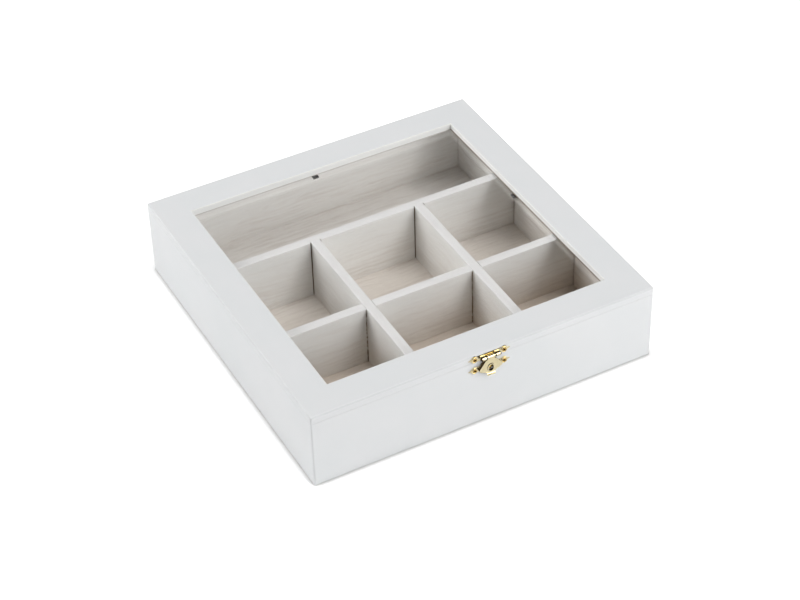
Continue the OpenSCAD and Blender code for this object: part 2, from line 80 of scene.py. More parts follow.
# %% Sizes from the frame
inner_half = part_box("right_wall")[0].x / MM
rim_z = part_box("right_wall")[1].z / MM
housing_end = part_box("rear_divider")[1].x / MM
wash_top_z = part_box("rear_divider")[1].z / MM
window_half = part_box("lid_right_stile")[0].x / MM
lid_under_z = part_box("lid_right_stile")[0].z / MM
lid_top_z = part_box("lid_right_stile")[1].z / MM
floor_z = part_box("floor_panel")[1].z / MM
column_x = (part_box("right_divider")[0].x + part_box("right_divider")[1].x) / 2 / MM
row_y = (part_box("rear_divider")[0].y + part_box("rear_divider")[1].y) / 2 / MM
divider_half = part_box("right_divider")[1].x / MM - column_x
print("inner half %.1f mm, window half %.1f mm, rim at %.1f mm"
      % (inner_half, window_half, rim_z))


# %% [markdown]
# ## Shader nodes
# A finish is a small tree of nodes. One function adds a node, sets its properties and feeds its
# inputs, by place or by name. An input is a number, a hex colour, a socket, or a node made
# before, which then gives its first output in use. So each finish below reads from top to bottom
# like a recipe.

# %% One function for nodes
def add(owner, kind, inputs=(), **settings):
    """Adds one shader node to a material or the world, with its settings and its links."""
    node = owner.node_tree.nodes.new("ShaderNode" + kind)
    for name, value in settings.items():
        setattr(node, name, value)
    for key, value in inputs.items() if isinstance(inputs, dict) else enumerate(inputs):
        if isinstance(value, bpy.types.Node):
            value = next(socket for socket in value.outputs if socket.enabled)
        if isinstance(value, bpy.types.NodeSocket):
            owner.node_tree.links.new(value, node.inputs[key])
        else:
            node.inputs[key].default_value = linear(value) if isinstance(value, str) else value
    return node


def new_material(name):
    """A material with an empty tree."""
    material = bpy.data.materials.new(name)
    material.use_nodes = True
    material.node_tree.nodes.clear()
    return material


print("one function adds every node")

# %% [markdown]
# ## Places, regions, coats and clouds
# Four questions come up in most finishes. Where on the piece is this point? Does it lie in a
# certain region? Which coats of colour cover it there? How cloudy are they? The point is
# measured on the piece itself, so a pattern moves with it and needs no unwrapping.

# %% Places, regions, coats and clouds
COMPARE = {"<": "LESS_THAN", ">": "GREATER_THAN"}
# Most of Blender's noise lies in this range, so a swing from low to high is taken from it.
NOISE_LOW, NOISE_HIGH = 0.3, 0.7


def place_in_mm(material):
    """The point on the piece in millimetres, which moves with the piece."""
    place = add(material, "TexCoord").outputs["Object"]
    return add(material, "VectorMath", {0: place, "Scale": 1 / MM}, operation="SCALE")


def from_line(material, value, line):
    """How far a value is from a line, to either side."""
    offset = add(material, "Math", [value, line], operation="SUBTRACT")
    return add(material, "Math", [offset], operation="ABSOLUTE")


def where(material, *conditions):
    """1 where all conditions hold. Each is a value, "<" or ">", and what it is compared with."""
    tests = [add(material, "Math", [value, limit], operation=COMPARE[sign])
             for value, sign, limit in conditions]
    result = tests[0]
    for test in tests[1:]:
        result = add(material, "Math", [result, test], operation="MULTIPLY")
    return result


def coats(material, colour, *layers):
    """A colour with coats over it. Each coat is its cover, from 0 to 1, and its colour."""
    for cover, coat in layers:
        colour = add(material, "Mix", {0: cover, 6: colour, 7: coat}, data_type="RGBA")
    return colour


def spots(material, place, size, detail=2.0, stretch=(1, 1, 1), rough=0.5):
    """Cloudy noise from 0 to 1, with clouds of about size millimetres times stretch."""
    scaled = add(material, "VectorMath", [place, [1 / (size * s) for s in stretch]],
                 operation="MULTIPLY")
    return add(material, "TexNoise", {"Vector": scaled, "Scale": 1.0, "Detail": detail,
                                      "Roughness": rough})


print("noise swings from", NOISE_LOW, "to", NOISE_HIGH)

# %% [markdown]
# ## White satin paint
# The box is fibreboard with sprayed waterborne paint. Spray leaves a very fine orange peel and a
# sheen between matt and gloss. Along the window's upper edge the paint is lighter and a little
# warmer: a painted highlight for the line of light on that edge. It is greyer where the outer
# edges roll over, painted shade that tones down the light on them, and in the lowest millimetre
# at the foot, painted shade where the box stands on the table. Two helpers find how far out a
# point is and where an edge rolls over.

# %% White satin paint: colours and places
PAINT = "#E0E1E2"
PAINT_CLOUD = "#DDDFE0"
# Painted highlight: a lighter, warmer strip along the window's upper edge.
WINDOW_EDGE_PAINTED_HIGHLIGHT = "#ECEBE6"
# Painted shade: greyer paint where the outer edges roll over, which tones down their light.
ROUND_EDGE_PAINTED_SHADE = "#D2D3D4"
# Painted shade: greyer paint in the lowest millimetre, where the box stands on the table.
FOOT_PAINTED_SHADE = "#D4D5D5"
PAINT_CLOUDS_MM = 45
CLOUD_FROM, CLOUD_TO = 0.35, 0.65
WINDOW_EDGE_HIGHLIGHT_MM = 0.35
FOOT_FROM_MM, FOOT_TO_MM = 0.1, 1.0
# How far up a surface looks, from 0 on an upright face to 1 on a level one.
LEAVES_UPRIGHT, ROLLED = 0.1, 0.4
NEARLY_LEVEL, LEVEL = 0.85, 0.97


def farthest_side(material, place):
    """A point's distance from the box's upright axis, along X or Y by which is more, and its Z."""
    parts = add(material, "SeparateXYZ", [place])
    sides = [add(material, "Math", [parts.outputs[i]], operation="ABSOLUTE") for i in (0, 1)]
    return add(material, "Math", sides, operation="MAXIMUM"), parts.outputs["Z"]


def rolled_edge(material, side):
    """1 where an outer edge rolls over from an upright face to a level one."""
    looks = add(material, "SeparateXYZ", [add(material, "TexCoord").outputs["Normal"]])
    leaves_face = add(material, "MapRange", [looks.outputs["Z"], LEAVES_UPRIGHT, ROLLED])
    before_top = add(material, "MapRange", [looks.outputs["Z"], LEVEL, NEARLY_LEVEL])
    rolled = add(material, "Math", [leaves_face, before_top], operation="MULTIPLY")
    outside = where(material, (side, ">", inner_half))
    return add(material, "Math", [rolled, outside], operation="MULTIPLY")


print("the paint has clouds of", PAINT_CLOUDS_MM, "mm")

# %% [markdown]
# ## Paint inside the window
# The window's inner faces are painted whiter than the rest, painted light that lifts these narrow
# faces beside the glass. The pane lies right under the lid's frame, and a darker line runs along
# the faces just above it. The line is wide and brown at the sides, and thin and pale at the front
# and back. The height above the lid's underside, as a share of the line's width, draws it.

# %% Paint inside the window
# Painted light: a whiter coat on the window's inner faces.
WINDOW_FACE_PAINTED_LIGHT = "#F3F4F3"
GLASS_LINE = "#7E6D60"
GLASS_LINE_BACK = "#C6C2BE"
GLASS_LINE_MM = 0.3
SIDE_LINE_MM = 1.6
BACK_LINE_MM = 0.8
LINE_FULL = 0.7


def window_coats(material, place, side, height):
    """The two coats of the window's inner faces alone: whiter paint as painted light, and the line
    by the glass.
    """
    inside = where(material, (height, ">", rim_z), (height, "<", lid_top_z - WINDOW_EDGE_HIGHLIGHT_MM),
                   (side, "<", window_half + GLASS_LINE_MM))
    from_under = add(material, "Math", [height, lid_under_z], operation="SUBTRACT")
    parts = add(material, "SeparateXYZ", [place])
    x, y = (add(material, "Math", [parts.outputs[i]], operation="ABSOLUTE") for i in (0, 1))
    at_sides = where(material, (x, ">", y))
    line_mm = add(material, "MapRange", [at_sides, 0.0, 1.0, BACK_LINE_MM, SIDE_LINE_MM])
    share = add(material, "Math", [from_under, line_mm], operation="DIVIDE")
    line = add(material, "Math", [1.0, share], operation="SUBTRACT")
    line = add(material, "MapRange", [line, 0.0, LINE_FULL])
    on_line = add(material, "Math", [inside, line], operation="MULTIPLY")
    return (inside, WINDOW_FACE_PAINTED_LIGHT), (on_line, coats(material, GLASS_LINE_BACK,
                                                  (at_sides, GLASS_LINE)))


print("the line by the glass is", SIDE_LINE_MM, "mm wide at the sides")

# %% [markdown]
# ## The whole paint
# The coats are laid over one another in the order in which they cover. Gloss follows the same
# soft clouds as the colour, and the orange peel is a relief of two hundredths of a millimetre.

# %% White satin paint: all coats
PEEL_MM = 1.1
PEEL_HIGH_MM = 0.02
PEEL_STRENGTH = 0.25
PAINT_IOR = 1.5
SMOOTHEST_PAINT, ROUGHEST_PAINT = 0.52, 0.60


def paint_shader(material, place):
    """Sprayed satin paint, with painted light and painted shade at its edges, window and foot."""
    side, height = farthest_side(material, place)
    clouds = spots(material, place, PAINT_CLOUDS_MM)
    cloudy = add(material, "MapRange", [clouds, CLOUD_FROM, CLOUD_TO])
    # The strip along the window's upper edge, which takes the painted highlight.
    thin = where(material, (side, "<", window_half + WINDOW_EDGE_HIGHLIGHT_MM),
                 (height, ">", lid_top_z - WINDOW_EDGE_HIGHLIGHT_MM))
    # How much painted shade the foot takes: full at the table, none a millimetre up.
    foot = add(material, "MapRange", [height, FOOT_FROM_MM, FOOT_TO_MM, 1.0, 0.0])
    # Over the rolled outer edges the paint takes painted shade.
    colour = coats(material, PAINT, (cloudy, PAINT_CLOUD), (thin, WINDOW_EDGE_PAINTED_HIGHLIGHT),
                   (rolled_edge(material, side), ROUND_EDGE_PAINTED_SHADE),
                   *window_coats(material, place, side, height), (foot, FOOT_PAINTED_SHADE))
    peel = spots(material, place, PEEL_MM, detail=1.0)
    relief = add(material, "Bump", {"Height": peel, "Strength": PEEL_STRENGTH,
                                    "Distance": PEEL_HIGH_MM * MM})
    rough = add(material, "MapRange", [clouds, NOISE_LOW, NOISE_HIGH,
                                       SMOOTHEST_PAINT, ROUGHEST_PAINT])
    return add(material, "BsdfPrincipled", {"Base Color": colour, "Roughness": rough,
                                            "Normal": relief, "IOR": PAINT_IOR})


satin_paint = new_material("white_satin_paint")
add(satin_paint, "OutputMaterial",
    {"Surface": paint_shader(satin_paint, place_in_mm(satin_paint))})
print("made", satin_paint.name)

# %% [markdown]
# ## The grain of the wood
# Noise that is stretched many times along one axis gives the streaks of the grain, and a slow
# second noise bends them. A fine third one makes the pores. Pores are 0.1 mm wide in reality,
# which is too fine to show, so they are drawn 0.4 mm wide.

# %% The grain of the wood
RING_MM = 2.0
RING_STRETCH = (28, 1, 1)
RING_ROUGH = 0.6
PORE_MM = 0.4
PORE_STRETCH = (22, 1, 1)
BEND_EVERY_MM = 26
BEND_STRETCH = (1.8, 1, 1)
BEND_BY_MM = 9.0


def grain(material, place, along):
    """The rings and the pores of a board whose grain runs along X or Y."""
    if along == "Y":
        place = add(material, "VectorRotate", {"Vector": place, "Angle": math.radians(90)},
                    rotation_type="Z_AXIS")
    bend = add(material, "Math", [spots(material, place, BEND_EVERY_MM, stretch=BEND_STRETCH),
                                  BEND_BY_MM], operation="MULTIPLY")
    shift = add(material, "CombineXYZ", {"Y": bend, "Z": bend})
    bent = add(material, "VectorMath", [place, shift], operation="ADD")
    rings = spots(material, bent, RING_MM, detail=3.0, stretch=RING_STRETCH, rough=RING_ROUGH)
    pores = spots(material, bent, PORE_MM, detail=1.0, stretch=PORE_STRETCH)
    return rings, pores


print("rings of", RING_MM, "mm with pores of", PORE_MM, "mm")

# %% [markdown]
# ## Raw wood at the joints
# Sprayed wash hardly gets into the gaps where two boards meet, so they stay raw and brown. Drips
# break these lines here and there, and they are fainter in the corners by the side walls. The
# ends of the short dividers, hidden in their housings, are raw too.

# %% Raw wood at the joints
JOINT_MM = 0.8
CORNER_MM = 0.5
EDGE_PLAY_MM = 0.1
WALL_JOINT = 0.35
DRIP_MM = 1.4
DRIP_FROM, DRIP_TO = 0.30, 0.46


def joint_line(material, place):
    """1 where the wash doesn't reach: in the gaps where boards along X meet the ones along Y."""
    parts = add(material, "SeparateXYZ", [place])
    x, y = (add(material, "Math", [parts.outputs[i]], operation="ABSOLUTE") for i in (0, 1))
    at_crossing = where(material,
                        (from_line(material, x, column_x), "<", divider_half + JOINT_MM),
                        (from_line(material, y, row_y), "<", divider_half + EDGE_PLAY_MM),
                        (parts.outputs["Y"], "<", row_y + divider_half - EDGE_PLAY_MM))
    by_wall = where(material, (x, ">", inner_half - CORNER_MM))
    at_wall = add(material, "Math", [by_wall, WALL_JOINT], operation="MULTIPLY")
    in_gap = add(material, "Math", [at_crossing, at_wall], operation="MAXIMUM")
    between = where(material, (parts.outputs["Z"], ">", floor_z + EDGE_PLAY_MM),
                    (parts.outputs["Z"], "<", wash_top_z - 2 * CORNER_MM))
    drips = add(material, "MapRange", [spots(material, place, DRIP_MM, detail=1.0),
                                       DRIP_FROM, DRIP_TO])
    open_here = add(material, "Math", [between, drips], operation="MULTIPLY")
    return add(material, "Math", [in_gap, open_here], operation="MULTIPLY")


def housed_end(material, place):
    """1 on the ends of the short dividers that sit in the housings, except their top faces."""
    parts = add(material, "SeparateXYZ", [place])
    at_back = where(material, (parts.outputs["Y"], ">", row_y - divider_half))
    at_front = where(material, (parts.outputs["Y"], "<", -inner_half))
    at_end = add(material, "Math", [at_back, at_front], operation="MAXIMUM")
    below = where(material, (parts.outputs["Z"], "<", wash_top_z - CORNER_MM))
    return add(material, "Math", [at_end, below], operation="MULTIPLY")


print("raw lines reach", JOINT_MM, "mm beside the dividers")

# %% [markdown]
# ## Limewashed wood
# The dividers, the floor and the insides of the walls are wood under a thin white wash, sprayed
# from above. The wash covers the upper parts almost fully, and lower down it is thinner. There it
# also gets browner towards the front right corner, where the grain shows more: this is painted
# shade, for the shade that the lid's front rail and right stile cast there. Two helpers say how
# near a point is to that corner and how thin the wash is.

# %% Limewashed wood: how thin the wash is
# How the painted shade towards the front right corner runs, in millimetres along a slanted line.
SHADE_FROM_MM, SHADE_TO_MM = -118.0, 0.0
SHADE_SLANT = 0.3
COVER_POWER = 1.4
PATCH_MM = 16
PATCH_STRETCH = (2, 2, 1)
THINNEST_PATCH = 0.55


# How much painted shade towards the front right a point takes.
def towards_corner(material, parts):
    """From 0 in the middle of the box and behind it to 1 at its front right corner."""
    slant = add(material, "Math", [parts.outputs["X"], SHADE_SLANT], operation="MULTIPLY")
    to_corner = add(material, "Math", [parts.outputs["Y"], slant], operation="SUBTRACT")
    return add(material, "MapRange", [to_corner, SHADE_FROM_MM, SHADE_TO_MM, 1.0, 0.0])


def thinness(material, place, height):
    """How thin the wash is, in patches: 0 at the dividers' tops, and most at the floor."""
    depth = add(material, "MapRange", [height, floor_z, wash_top_z, 1.0, 0.0])
    depth = add(material, "Math", [depth, COVER_POWER], operation="POWER")
    patches = spots(material, place, PATCH_MM, detail=3.0, stretch=PATCH_STRETCH)
    uneven = add(material, "MapRange", [patches, NOISE_LOW, NOISE_HIGH, THINNEST_PATCH, 1.0])
    return add(material, "Math", [depth, uneven], operation="MULTIPLY")


print("the wash thins from %.1f mm down to %.1f mm" % (wash_top_z, floor_z))

# %% [markdown]
# ## The washed board
# The coats are the thick wash, the thin wash with its painted shade towards the front right, a
# slightly darker tone on the dividers' rubbed top edges and on the walls above them, and the
# floor's own wash, which turns browner from back to front as painted shade.
# Then comes the grain that shows through, and last the raw joints. Rings and pores also give a
# very low relief.

# %% Limewashed wood: the whole board
WASH = "#F6F6F4"
THIN_WASH = "#EEEBE7"
# Painted shade: a browner wash lower down towards the front right corner.
WASH_FRONT_PAINTED_SHADE = "#CAB6A1"
RUBBED_TOP = "#F0EFEE"
FLOOR_WASH = "#F1EDE8"
# Painted shade: a browner floor towards the front of the box.
FLOOR_FRONT_PAINTED_SHADE = "#DACBBA"
STREAK = "#CCC0B6"
PORE = "#AE9F93"
RAW_EDGE = "#86705C"
# Where the floor's painted shade is full and where it ends, along Y.
FLOOR_FROM_MM, FLOOR_TO_MM = -88.0, 80.0
ABOVE_FLOOR_MM, ON_FLOOR_MM = 0.4, 0.1
BELOW_TOP_MM, ON_TOP_MM = 0.6, 0.2
RING_FROM, RING_TO = 0.45, 0.72
PORE_FROM, PORE_TO = 0.62, 0.8
# The grain shows more inside the painted shade towards the front right.
FRONT_GRAIN = 1.5
FAINTEST_GRAIN, STRONGEST_GRAIN = 0.10, 0.80
GRAIN_STRENGTH = 0.3
GRAIN_HIGH_MM = 0.05
WOOD_ROUGH = 0.62
WOOD_IOR = 1.45


def shown_grain(material, rings, pores, thin, front):
    """The grain's two coats, its streaks and its pores, which show more where the wash is thin."""
    more_in_front = add(material, "MapRange", [front, 0, 1, 1.0, FRONT_GRAIN])
    bare = add(material, "Math", [thin, more_in_front], operation="MULTIPLY")
    shows = add(material, "MapRange", [bare, 0.0, FRONT_GRAIN, FAINTEST_GRAIN, STRONGEST_GRAIN])
    dark_rings = add(material, "MapRange", [rings, RING_FROM, RING_TO])
    dark_pores = add(material, "MapRange", [pores, PORE_FROM, PORE_TO])
    return ((add(material, "Math", [dark_rings, shows], operation="MULTIPLY"), STREAK),
            (add(material, "Math", [dark_pores, shows], operation="MULTIPLY"), PORE))


def wood_shader(material, place, along, raw_parts=None):
    """Limewashed wood with its grain along X or Y, raw where raw_parts says 1."""
    parts = add(material, "SeparateXYZ", [place])
    height = parts.outputs["Z"]
    # front is the weight of the painted shade towards the front right corner.
    front = towards_corner(material, parts)
    thin = thinness(material, place, height)
    rings, pores = grain(material, place, along)
    on_top = add(material, "MapRange", [height, wash_top_z - BELOW_TOP_MM,
                                        wash_top_z - ON_TOP_MM])
    on_floor = add(material, "MapRange", [height, floor_z + ABOVE_FLOOR_MM,
                                          floor_z + ON_FLOOR_MM])
    floor_front_shade = add(material, "MapRange", [parts.outputs["Y"], FLOOR_FROM_MM, FLOOR_TO_MM,
                                             1.0, 0.0])
    colour = coats(material, WASH,
                   (thin, coats(material, THIN_WASH, (front, WASH_FRONT_PAINTED_SHADE))),
                   (on_top, RUBBED_TOP),
                   (on_floor, coats(material, FLOOR_WASH, (floor_front_shade, FLOOR_FRONT_PAINTED_SHADE))),
                   *shown_grain(material, rings, pores, thin, front))
    if raw_parts:
        colour = coats(material, colour, (raw_parts(material, place), RAW_EDGE))
    relief = add(material, "Math", [rings, pores], operation="ADD")
    bump = add(material, "Bump", {"Height": relief, "Strength": GRAIN_STRENGTH,
                                  "Distance": GRAIN_HIGH_MM * MM})
    return add(material, "BsdfPrincipled", {"Base Color": colour, "Roughness": WOOD_ROUGH,
                                            "Normal": bump, "IOR": WOOD_IOR})


washed_wood = {}
for along, raw_parts in (("X", joint_line), ("Y", housed_end)):
    material = new_material("limewashed_wood_along_" + along.lower())
    add(material, "OutputMaterial",
        {"Surface": wood_shader(material, place_in_mm(material), along, raw_parts)})
    washed_wood[along] = material
print("made", [m.name for m in washed_wood.values()])

# %% [markdown]
# ## Walls: painted outside, washed inside
# Each wall is one board with two finishes. One material holds both and changes over by place:
# inside the wall's inner face and below the rim it is washed wood. In the housings it is bare
# board, brown in the front wall and paler in the side walls, where the paler colour is painted
# light that softens the shade in those narrow gaps. Above the dividers' tops the housings are
# open, and the wash covers them.

# %% Walls with two finishes
# Painted light: a paler bare board in the side walls' housings, against the shade in the gaps.
HOUSING_PAINTED_LIGHT = "#D9CDC0"


def wall_material(along, housing_colour, raw_parts=None):
    """Paint outside, washed wood inside and bare board in the housings."""
    material = new_material("painted_wall_along_" + along.lower())
    place = place_in_mm(material)
    side, height = farthest_side(material, place)
    washed = where(material, (height, "<", rim_z - EDGE_PLAY_MM),
                   (side, "<", housing_end + EDGE_PLAY_MM))
    in_housing = where(material, (side, ">", inner_half + EDGE_PLAY_MM),
                       (height, "<", wash_top_z))
    bare = add(material, "BsdfDiffuse", {"Color": housing_colour})
    wood = wood_shader(material, place, along, raw_parts)
    inner = add(material, "MixShader", [in_housing, wood, bare])
    both = add(material, "MixShader", [washed, paint_shader(material, place), inner])
    add(material, "OutputMaterial", {"Surface": both})
    return material


wall_finish = {
    "X": wall_material("X", RAW_EDGE, joint_line),
    "Y": wall_material("Y", HOUSING_PAINTED_LIGHT),
}
print("made", [m.name for m in wall_finish.values()])

# %% [markdown]
# ## Window glass
# The pane is 2 mm of clear float glass. It bends and mirrors as glass does for what is seen, and
# lets the light of the room through to the wood below, because a sharp refraction of soft light
# would only add noise. Float glass has an IOR of about 1.52. A little more is used here, so that
# the pane mirrors slightly more.

# %% Window glass
GLASS_TINT = "#FEFEFE"
LIGHT_TINT = "#FDFDFD"
GLASS_IOR = 1.62

glass = new_material("clear_float_glass")
clear = add(glass, "BsdfPrincipled", {"Base Color": GLASS_TINT, "Roughness": 0.0,
                                      "IOR": GLASS_IOR, "Transmission Weight": 1.0})
through = add(glass, "BsdfTransparent", {"Color": LIGHT_TINT})
path = add(glass, "LightPath")
room_light = add(glass, "Math", [path.outputs["Is Shadow Ray"], path.outputs["Is Diffuse Ray"]],
                 operation="MAXIMUM")
pane = add(glass, "MixShader", [room_light, clear, through])
add(glass, "OutputMaterial", {"Surface": pane})
print("made", glass.name)

# %% [markdown]
# ## Metals
# The hinges are thin pressed steel with a polished brass plating, the glass clips are blackened
# steel, and their screws are zinc plated. Real metal is never quite even, so its tone and gloss
# change in soft clouds of a millimetre or two. Some metals also have parts of another colour,
# or a low relief of pressed ornament.

# %% Brass, blackened steel and zinc
BRASS = "#EADDB6"
BLACKENED = "#1D1C1B"
ZINC = "#B9BABB"
# Painted shade: the dark brown of the latch's gaps and of the screws' recesses.
BRASS_PAINTED_SHADE = "#2E2110"
DULLEST, BRIGHTEST = 0.94, 1.05
SMOOTHER, ROUGHER = 0.8, 1.25
EMBOSS_MM = 0.8
EMBOSS_FROM, EMBOSS_TO = 0.42, 0.58
EMBOSS_STRENGTH = 0.6


def metal_material(name, colour, metallic, roughness, wear_mm, other_parts=None, emboss_mm=0.0,
                   other_colour=BRASS_PAINTED_SHADE):
    """Metal with clouds of wear_mm, relief of emboss_mm, and other_colour on its other_parts."""
    material = new_material(name)
    place = place_in_mm(material)
    clouds = spots(material, place, wear_mm, detail=3.0)
    value = add(material, "MapRange", [clouds, NOISE_LOW, NOISE_HIGH, DULLEST, BRIGHTEST])
    tone = add(material, "HueSaturation", {"Value": value, "Color": colour})
    if other_parts:
        tone = coats(material, tone, (other_parts(material, place), other_colour))
    rough = add(material, "MapRange", [clouds, NOISE_LOW, NOISE_HIGH,
                                       roughness * SMOOTHER, roughness * ROUGHER])
    pressed = add(material, "MapRange", [spots(material, place, EMBOSS_MM, detail=1.0),
                                         EMBOSS_FROM, EMBOSS_TO])
    relief = add(material, "Bump", {"Height": pressed, "Strength": EMBOSS_STRENGTH,
                                    "Distance": emboss_mm * MM})
    shader = add(material, "BsdfPrincipled", {"Base Color": tone, "Metallic": metallic,
                                              "Roughness": rough, "Normal": relief})
    add(material, "OutputMaterial", {"Surface": shader})
    return material


brass = metal_material("polished_brass_plate", BRASS, metallic=1.0, roughness=0.16, wear_mm=2.5)
blackened = metal_material("blackened_steel", BLACKENED, metallic=0.0, roughness=0.38,
                           wear_mm=1.5)
zinc = metal_material("zinc_plated_steel", ZINC, metallic=1.0, roughness=0.32, wear_mm=1.0)
print("made", brass.name, blackened.name, zinc.name)

# %% [markdown]
# ## Brass of the latch
# The latch is stamped from brass-plated sheet with a fine raised pattern. The gaps beside the
# barrel, the pin's ends and the hasp's cut edges are dark brown: painted shade for the shade and
# dark reflections in these narrow places. The latch's screws are a deeper yellow than the plates.
# The catch's nib is a deeper yellow too, as painted shade for the nib down in the hasp's slot,
# and the recesses of the screws are dark with painted shade.

# %% Brass of the latch
SCREW_BRASS = "#CFA95C"
# Painted shade: a deeper, darker yellow for the nib, which sits in the shade of the hasp's slot.
NIB_BRASS = "#D9B25A"
EMBOSS_HIGH_MM = 0.05
BARREL_MM = 6.2
LUG_MM = 3.0
KNUCKLE_MM = 1.3
GAP_MM = 0.9
LATCH_PROUD_MM = 1.3
NIB_PROUD_MM = 1.15
LIP_MM = 2.0
# A face counts as a cut edge where it looks less than this to the front or back.
CUT_EDGE = 0.35
latch_x = (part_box("latch_hasp")[0].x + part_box("latch_hasp")[1].x) / 2 / MM
lip_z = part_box("latch_hasp")[0].z / MM + LIP_MM
pin_z = (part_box("latch_pin")[0].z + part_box("latch_pin")[1].z) / 2 / MM
front_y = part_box("front_wall")[0].y / MM


# Where the latch takes its painted shade.
def latch_gaps(material, place):
    """1 in the gaps beside the barrel, on the pin's heads and on the hasp's cut edges."""
    parts = add(material, "SeparateXYZ", [place])
    across = from_line(material, parts.outputs["X"], latch_x)
    in_gap = where(material, (from_line(material, across, BARREL_MM / 2), "<", GAP_MM / 2))
    on_head = where(material, (across, ">", BARREL_MM / 2 + LUG_MM + EDGE_PLAY_MM))
    at_barrel = add(material, "Math", [in_gap, on_head], operation="MAXIMUM")
    proud = (parts.outputs["Y"], "<", front_y - LATCH_PROUD_MM)
    up_down = from_line(material, parts.outputs["Z"], pin_z)
    beside = where(material, (up_down, "<", KNUCKLE_MM + GAP_MM), proud)
    at_pin = add(material, "Math", [at_barrel, beside], operation="MULTIPLY")
    looks = add(material, "SeparateXYZ", [add(material, "TexCoord").outputs["Normal"]])
    outward = add(material, "Math", [looks.outputs["Y"]], operation="ABSOLUTE")
    on_hasp = where(material, (parts.outputs["Z"], "<", pin_z - KNUCKLE_MM - GAP_MM),
                    (parts.outputs["Z"], ">", lip_z))
    cut = where(material, (outward, "<", CUT_EDGE), proud)
    on_edge = add(material, "Math", [on_hasp, cut], operation="MULTIPLY")
    return add(material, "Math", [at_pin, on_edge], operation="MAXIMUM")


def nib_part(material, place):
    """1 on the catch plate's nib, which stands out farther than the rest of the plate."""
    parts = add(material, "SeparateXYZ", [place])
    return where(material, (parts.outputs["Y"], "<", front_y - NIB_PROUD_MM))


latch_brass = metal_material("embossed_brass_latch", BRASS, metallic=1.0, roughness=0.18,
                             wear_mm=2.5, other_parts=latch_gaps, emboss_mm=EMBOSS_HIGH_MM)
catch_brass = metal_material("pressed_brass_catch", BRASS, metallic=1.0, roughness=0.18,
                             wear_mm=2.5, other_parts=nib_part, emboss_mm=EMBOSS_HIGH_MM,
                             other_colour=NIB_BRASS)
screw_brass = metal_material("turned_brass_screw", SCREW_BRASS, metallic=1.0, roughness=0.2,
                             wear_mm=1.0)
# Painted shade for the screws' cross recesses.
recess = metal_material("painted_shade_in_recess", BRASS_PAINTED_SHADE, metallic=1.0, roughness=0.5, wear_mm=1.0)
print("made", latch_brass.name, catch_brass.name, screw_brass.name, recess.name)

# %% [markdown]
# ## Dressing the frame
# A node whose shape is right keeps its mesh and only takes a finish. The glass clips are
# blackened, and the lid's boards are painted. A table gives the finish of the other boards, the
# pane, the clips' screws and the latch, and everything else is brass.

# %% Finishes on the nodes
FINISH = {
    "front_wall": wall_finish["X"], "back_wall": wall_finish["X"],
    "left_wall": wall_finish["Y"], "right_wall": wall_finish["Y"],
    "rear_divider": washed_wood["X"], "middle_divider": washed_wood["X"],
    "left_divider": washed_wood["Y"], "right_divider": washed_wood["Y"],
    "floor_panel": washed_wood["X"], "window_glass": glass, "glass_clip_screws": zinc,
    "latch_plate": latch_brass, "latch_hasp": latch_brass, "latch_pin": latch_brass,
    "catch_plate": catch_brass,
}
for name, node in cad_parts.items():
    if name.endswith("_glass_clip"):
        finish = blackened
    elif name.startswith("lid_"):
        finish = satin_paint
    else:
        finish = FINISH.get(name, brass)
    node.data.materials.clear()
    node.data.materials.append(finish)
    print("%-24s %s" % (name, finish.name))

# %% [markdown]
# ## Softer edges on the pressed metal
# Pressed and tumbled sheet metal has no sharp edges, and each small round on it catches a line
# of light. A bevel modifier of about a tenth of a millimetre on the brass pieces gives those
# lines. It rounds what is shown, and the meshes of the construction model stay as they are.

# %% Soft metal edges
METAL_EDGE_MM = 0.12
EDGE_SEGMENTS = 2
SHARP_DEGREES = 40

for name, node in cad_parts.items():
    if node.data.materials[0] in (brass, latch_brass, catch_brass):
        edges = node.modifiers.new("soft_edges", "BEVEL")
        edges.width = METAL_EDGE_MM * MM
        edges.segments = EDGE_SEGMENTS
        edges.limit_method = "ANGLE"
        edges.angle_limit = math.radians(SHARP_DEGREES)
print("edges softened by", METAL_EDGE_MM, "mm")

# %% [markdown]
# ## Latch screws with cross recesses
# Four small round-head screws hold the two latch plates. Each head is a low dome with a cross
# recess, which is deepest in the middle and runs out along its four arms. A formula gives the
# height of the head at each point, so no recess has to be cut.

# %% The shape of a screw head
SCREW_RISE_MM = 0.6
RECESS_ARM_MM = 0.95
RECESS_HALF_MM = 0.42
RECESS_DARK_MM = 0.05
RECESS_DEEP_MM = 0.5
# How flat the recess is across an arm, and how soon it is deep along one.
ARM_FLATNESS = 4
ARM_STEEPNESS = 2


def recess_depth(x, z):
    """How deep the cross recess is at x, z from a screw's axis, all in millimetres."""
    along_arm = max(0.0, 1 - max(abs(x), abs(z)) / RECESS_ARM_MM)
    across_arm = max(0.0, 1 - (min(abs(x), abs(z)) / RECESS_HALF_MM) ** ARM_FLATNESS)
    return RECESS_DEEP_MM * min(1.0, ARM_STEEPNESS * along_arm) * across_arm


def head_height(x, z, radius):
    """The height of a screw head's face at x, z from its axis, all in millimetres."""
    dome = SCREW_RISE_MM * math.sqrt(max(0.0, 1 - (x * x + z * z) / radius ** 2))
    return max(0.0, dome - recess_depth(x, z))


print("the recess is", recess_depth(0, 0), "mm deep in the middle")

# %% [markdown]
# ## The mesh of a screw
# The head is a polar net of points: rings round the axis, joined by faces. Faces inside the
# recess take the second material, dark with painted shade. A flat back closes the head, and the
# shank that runs into the wood is a plain cylinder, half as wide as the head.

# %% The mesh of a screw
HEAD_RINGS = 16
HEAD_SPOKES = 48
SHANK_SIDES = 16


